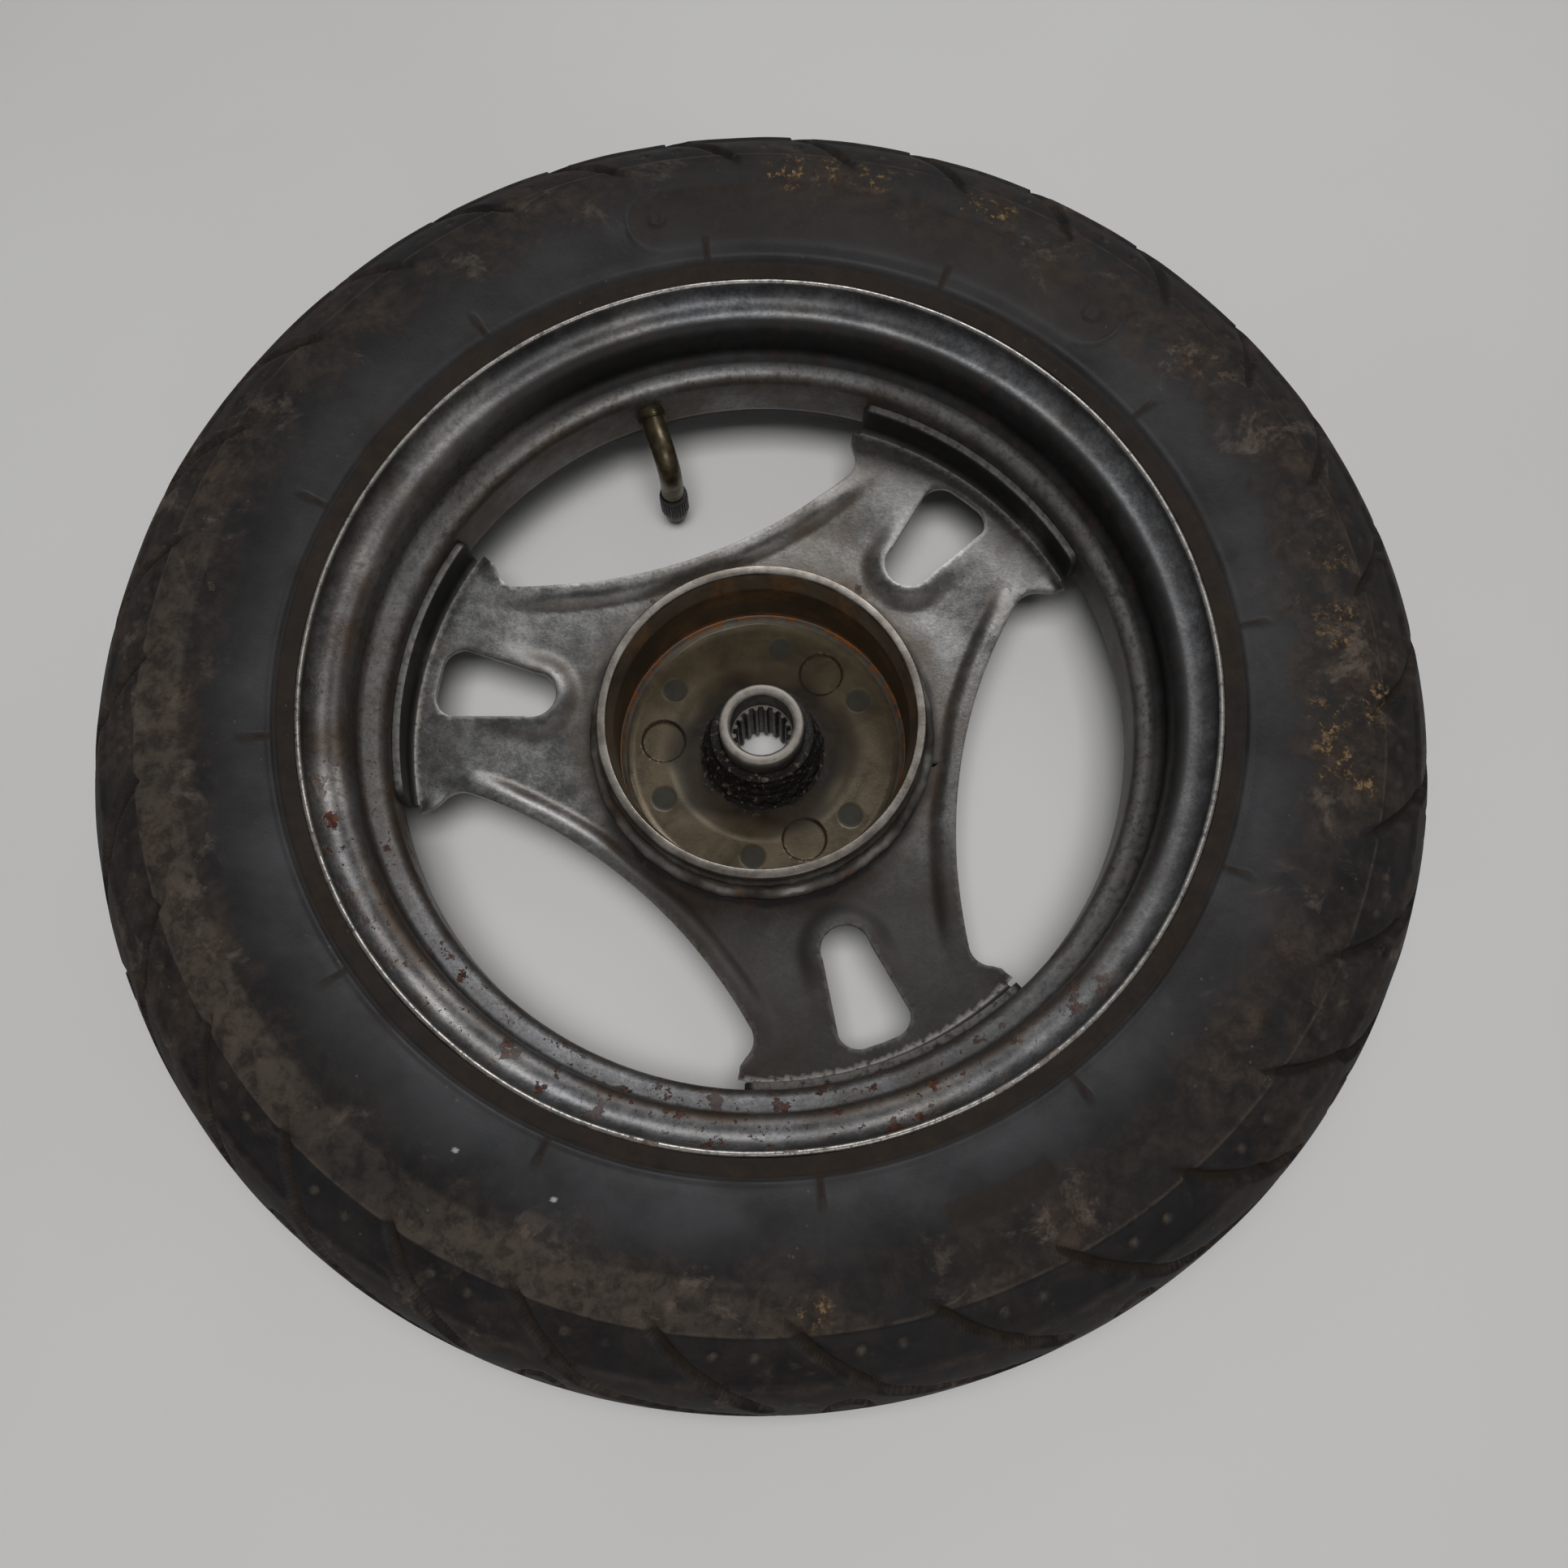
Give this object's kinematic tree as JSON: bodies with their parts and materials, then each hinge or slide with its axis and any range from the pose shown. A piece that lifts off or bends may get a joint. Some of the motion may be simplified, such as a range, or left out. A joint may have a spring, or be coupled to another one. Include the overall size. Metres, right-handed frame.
{
  "type": "scooter rear wheel with drum brake hub",
  "caption": "Small scooter rear wheel: treaded tube tyre on a pressed steel three-arm rim, cast drum hub with a splined sleeve, and a bent valve.",
  "frame": {"origin": "on the wheel axis, half way between the two rim edges", "axes": "+Z along the wheel axis towards the open side of the brake drum; the wheel lies flat, and the valve is near +Y"},
  "size_m": [0.413, 0.413, 0.082],
  "materials": {
    "tyre": "worn matt rubber with brown dust",
    "ply_cloth": "rubbered nylon cord",
    "bead_steel": "coated wire bundle",
    "tube_rubber": "smooth dull rubber",
    "valve_brass": "tarnished",
    "core_brass": "plain",
    "spring_steel": "bright wire",
    "seal_rubber": "smooth",
    "cap_plastic": "dusty moulded plastic",
    "rim_paint": "worn graphite paint with rust spots",
    "weld_steel": "painted weld bead",
    "cast_alloy": "dirty casting, oily inside",
    "drum_iron": "machined, with a light rust film",
    "machined_steel": "turned, with grease and light rust"
  },
  "bodies": {
    "wheel": {"tyre_rubber": "tyre", "tyre_carcass": "ply_cloth", "bead_wire_upper": "bead_steel", "bead_wire_lower": "bead_steel", "inner_tube": "tube_rubber", "valve_base": "tube_rubber", "valve_stem": "valve_brass", "valve_collar": "valve_brass", "valve_core_body": "core_brass", "valve_core_spring": "spring_steel", "valve_core_seal": "seal_rubber", "rim": "rim_paint", "wheel_disc": "rim_paint", "foot_welds": "weld_steel", "hub_casting": "cast_alloy", "brake_liner": "drum_iron", "splined_sleeve": "machined_steel"},
    "cap_travel": {"cap_seal": "seal_rubber"},
    "cap": {"valve_cap": "cap_plastic"},
    "core_pin": {"valve_core_pin": "core_brass"}
  },
  "joints": [
    {"name": "cap_lift", "type": "slide", "parent": "wheel", "child": "cap_travel", "axis": [0, 0, -1], "range_m": [0, 0.00397]},
    {"name": "cap_turn", "type": "hinge", "parent": "cap_travel", "child": "cap", "pos_m": [-0.02614, 0.09237, -0.028], "axis": [0, 0, -1], "range_deg": [0, 1800]},
    {"name": "core_press", "type": "slide", "parent": "wheel", "child": "core_pin", "axis": [0, 0, 1], "range_m": [0, 0.0015], "stiffness_N_per_m": 400, "springref_m": -0.002, "deforming": ["valve_core_spring"]}
  ],
  "couplings": [
    {"joint": "cap_turn", "follows": "cap_lift", "rad_per_m": 7913.3}
  ]
}
